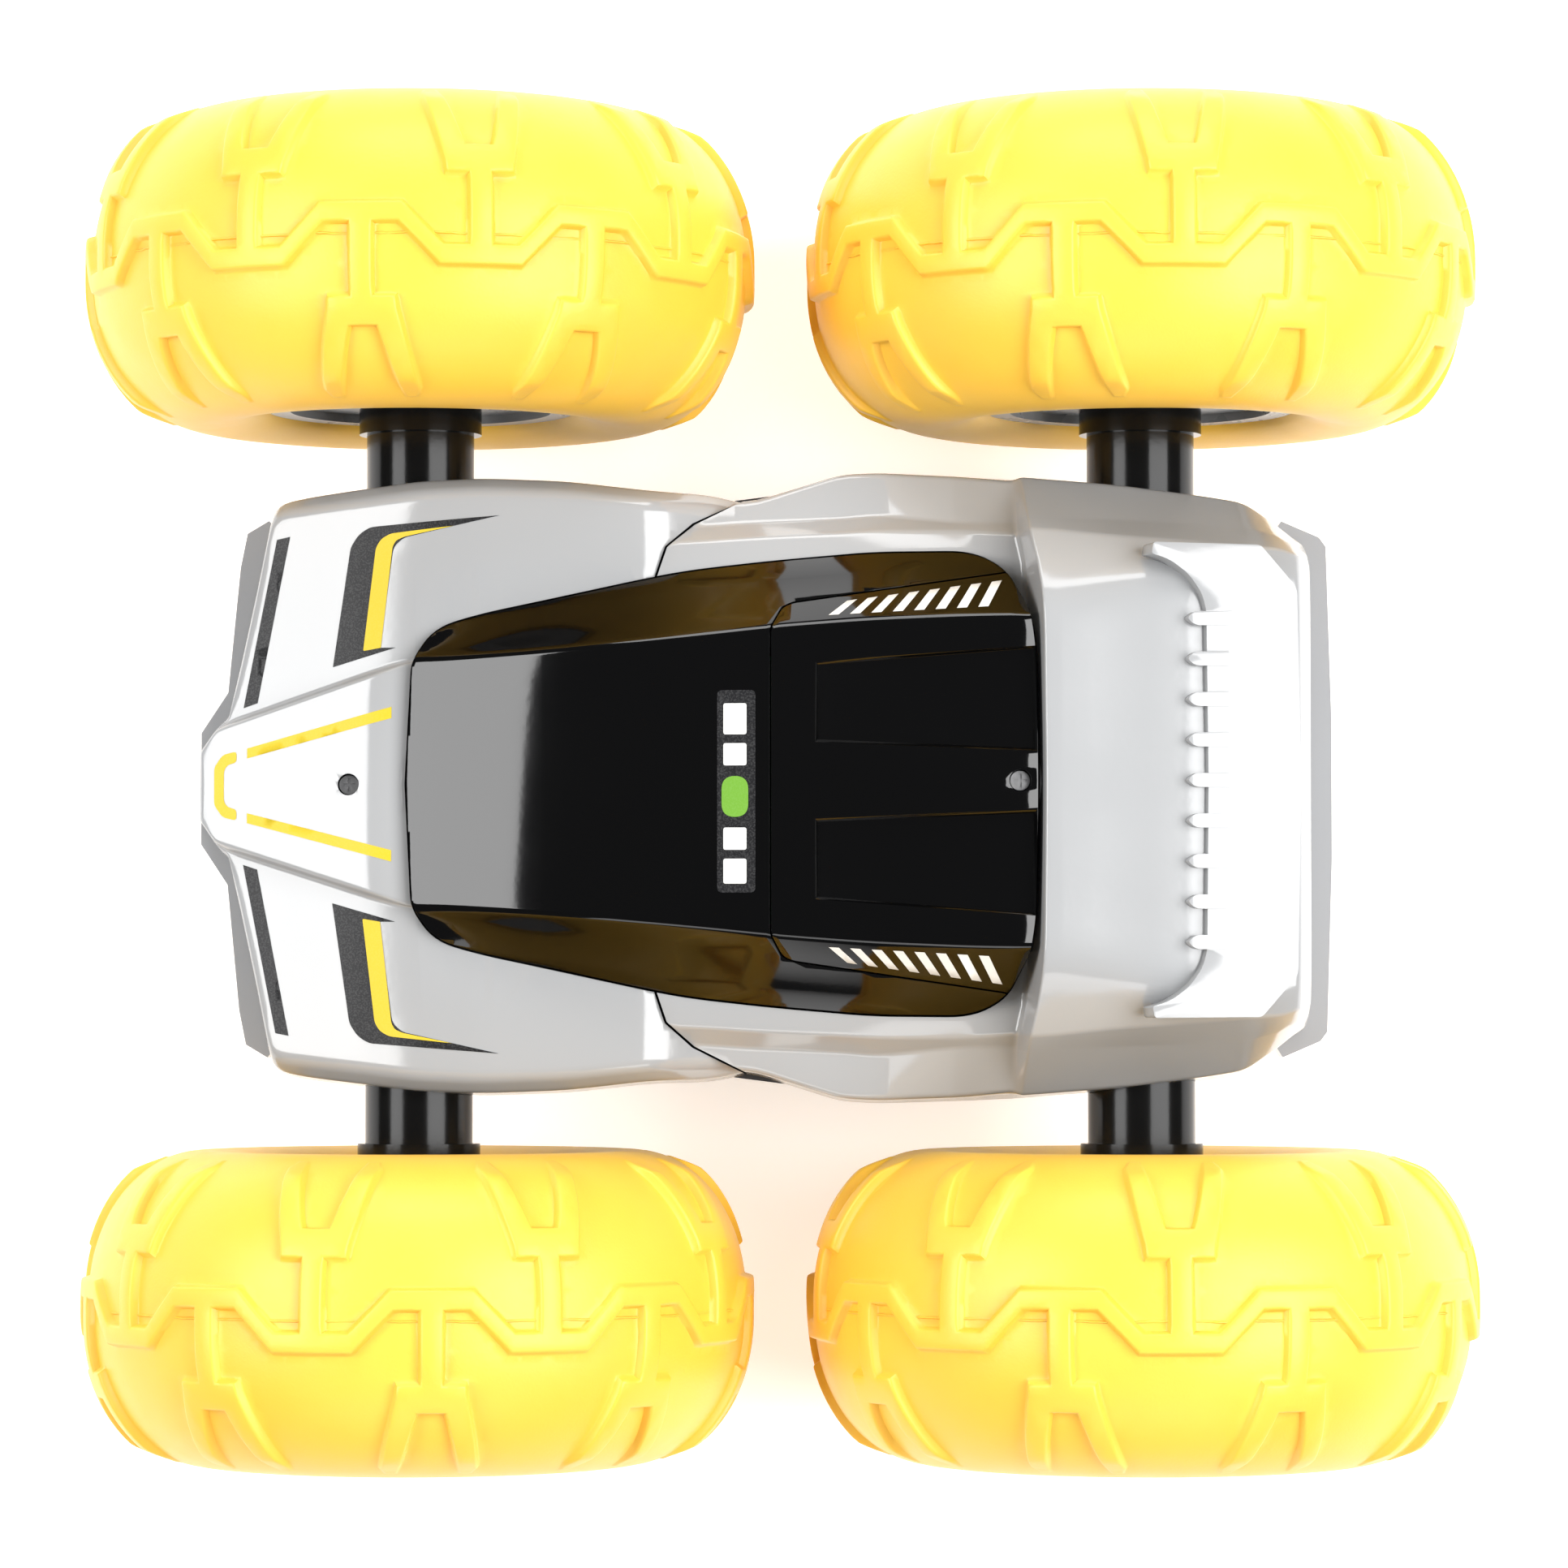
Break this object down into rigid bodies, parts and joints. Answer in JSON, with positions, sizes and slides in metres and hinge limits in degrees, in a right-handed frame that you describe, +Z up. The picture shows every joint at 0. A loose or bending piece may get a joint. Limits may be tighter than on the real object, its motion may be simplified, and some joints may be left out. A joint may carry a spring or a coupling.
{
  "type": "rc stunt car",
  "caption": "Remote-controlled stunt car on large treaded tyres, with a closed shell body, a geared motor at each wheel, a battery door and a power switch.",
  "frame": {"origin": "on the floor under the middle of the car, midway between the axles and between the left and right wheels", "axes": "+X forward towards the nose, +Y to the car's left, +Z up"},
  "size_m": [0.324, 0.312, 0.156],
  "materials": {
    "tyre_rubber": "satin, moulded",
    "rim_grey": "satin",
    "grey_shell": "gloss",
    "black_gloss": "high gloss",
    "black_shell": "fine texture",
    "nylon": "smooth",
    "steel": "turned",
    "zinc_screw": "dark plated",
    "motor_can": "drawn",
    "brass_gear": "machined",
    "bush_brass": "sintered",
    "battery_wrap": "shrink film",
    "board_green": "solder mask",
    "switch_black": "moulded",
    "switch_red": "moulded"
  },
  "bodies": {
    "chassis": {"motor_fl": "motor_can", "axle_tube_fl": "black_gloss", "motor_fr": "motor_can", "axle_tube_fr": "black_gloss", "motor_rl": "motor_can", "axle_tube_rl": "black_gloss", "motor_rr": "motor_can", "axle_tube_rr": "black_gloss", "gear_pins": "steel", "axle_bushes": "bush_brass", "front_gearbox_case": "black_shell", "front_gearbox_lid": "black_shell", "rear_gearbox_case": "black_shell", "rear_gearbox_lid": "black_shell", "lower_shell": "black_shell", "front_cover": "grey_shell", "rear_cover": "grey_shell", "canopy": "black_gloss", "engine_cover": "black_gloss", "front_bumper": "grey_shell", "rear_bumper": "grey_shell", "battery_pack": "battery_wrap", "circuit_board": "board_green", "switch_body": "switch_black", "body_screws": "zinc_screw"},
    "wheel_fl": {"tyre_fl": "tyre_rubber", "rim_fl": "rim_grey", "wheel_hub_fl": "rim_grey", "wheel_nut_fl": "steel", "drive_shaft_fl": "steel", "output_gear_fl": "nylon"},
    "wheel_fr": {"tyre_fr": "tyre_rubber", "rim_fr": "rim_grey", "wheel_hub_fr": "rim_grey", "wheel_nut_fr": "steel", "drive_shaft_fr": "steel", "output_gear_fr": "nylon"},
    "wheel_rl": {"tyre_rl": "tyre_rubber", "rim_rl": "rim_grey", "wheel_hub_rl": "rim_grey", "wheel_nut_rl": "steel", "drive_shaft_rl": "steel", "output_gear_rl": "nylon"},
    "wheel_rr": {"tyre_rr": "tyre_rubber", "rim_rr": "rim_grey", "wheel_hub_rr": "rim_grey", "wheel_nut_rr": "steel", "drive_shaft_rr": "steel", "output_gear_rr": "nylon"},
    "compound_fl": {"compound_gear_fl": "nylon"},
    "compound_fr": {"compound_gear_fr": "nylon"},
    "compound_rl": {"compound_gear_rl": "nylon"},
    "compound_rr": {"compound_gear_rr": "nylon"},
    "pinion_fl": {"motor_pinion_fl": "brass_gear"},
    "pinion_fr": {"motor_pinion_fr": "brass_gear"},
    "pinion_rl": {"motor_pinion_rl": "brass_gear"},
    "pinion_rr": {"motor_pinion_rr": "brass_gear"},
    "battery_door": {"battery_door": "black_shell", "door_screw": "zinc_screw"},
    "power_switch": {"switch_knob": "switch_red"}
  },
  "joints": [
    {"name": "wheel_fl_spin", "type": "hinge", "parent": "chassis", "child": "wheel_fl", "pos_m": [0.084, 0.12, 0.078], "axis": [0, 1, 0], "continuous": true},
    {"name": "wheel_fr_spin", "type": "hinge", "parent": "chassis", "child": "wheel_fr", "pos_m": [0.084, -0.12, 0.078], "axis": [0, 1, 0], "continuous": true},
    {"name": "wheel_rl_spin", "type": "hinge", "parent": "chassis", "child": "wheel_rl", "pos_m": [-0.084, 0.12, 0.078], "axis": [0, 1, 0], "continuous": true},
    {"name": "wheel_rr_spin", "type": "hinge", "parent": "chassis", "child": "wheel_rr", "pos_m": [-0.084, -0.12, 0.078], "axis": [0, 1, 0], "continuous": true},
    {"name": "compound_fl_spin", "type": "hinge", "parent": "chassis", "child": "compound_fl", "pos_m": [0.069, 0.034, 0.078], "axis": [0, 1, 0], "continuous": true},
    {"name": "pinion_fl_spin", "type": "hinge", "parent": "chassis", "child": "pinion_fl", "pos_m": [0.055, 0.031, 0.078], "axis": [0, 1, 0], "continuous": true},
    {"name": "compound_fr_spin", "type": "hinge", "parent": "chassis", "child": "compound_fr", "pos_m": [0.069, -0.034, 0.078], "axis": [0, 1, 0], "continuous": true},
    {"name": "pinion_fr_spin", "type": "hinge", "parent": "chassis", "child": "pinion_fr", "pos_m": [0.055, -0.031, 0.078], "axis": [0, 1, 0], "continuous": true},
    {"name": "compound_rl_spin", "type": "hinge", "parent": "chassis", "child": "compound_rl", "pos_m": [-0.069, 0.034, 0.078], "axis": [0, 1, 0], "continuous": true},
    {"name": "pinion_rl_spin", "type": "hinge", "parent": "chassis", "child": "pinion_rl", "pos_m": [-0.055, 0.031, 0.078], "axis": [0, 1, 0], "continuous": true},
    {"name": "compound_rr_spin", "type": "hinge", "parent": "chassis", "child": "compound_rr", "pos_m": [-0.069, -0.034, 0.078], "axis": [0, 1, 0], "continuous": true},
    {"name": "pinion_rr_spin", "type": "hinge", "parent": "chassis", "child": "pinion_rr", "pos_m": [-0.055, -0.031, 0.078], "axis": [0, 1, 0], "continuous": true},
    {"name": "battery_door_hinge", "type": "hinge", "parent": "chassis", "child": "battery_door", "pos_m": [0, -0.0246, 0.0452], "axis": [-1, 0, 0], "range_deg": [0, 60]},
    {"name": "power_switch_slide", "type": "slide", "parent": "chassis", "child": "power_switch", "axis": [1, 0, 0], "range_m": [0, 0.004]}
  ],
  "couplings": [
    {"joint": "compound_fl_spin", "follows": "wheel_fl_spin", "ratio": -5},
    {"joint": "pinion_fl_spin", "follows": "wheel_fl_spin", "ratio": 30},
    {"joint": "compound_fr_spin", "follows": "wheel_fr_spin", "ratio": -5},
    {"joint": "pinion_fr_spin", "follows": "wheel_fr_spin", "ratio": 30},
    {"joint": "compound_rl_spin", "follows": "wheel_rl_spin", "ratio": -5},
    {"joint": "pinion_rl_spin", "follows": "wheel_rl_spin", "ratio": 30},
    {"joint": "compound_rr_spin", "follows": "wheel_rr_spin", "ratio": -5},
    {"joint": "pinion_rr_spin", "follows": "wheel_rr_spin", "ratio": 30}
  ]
}
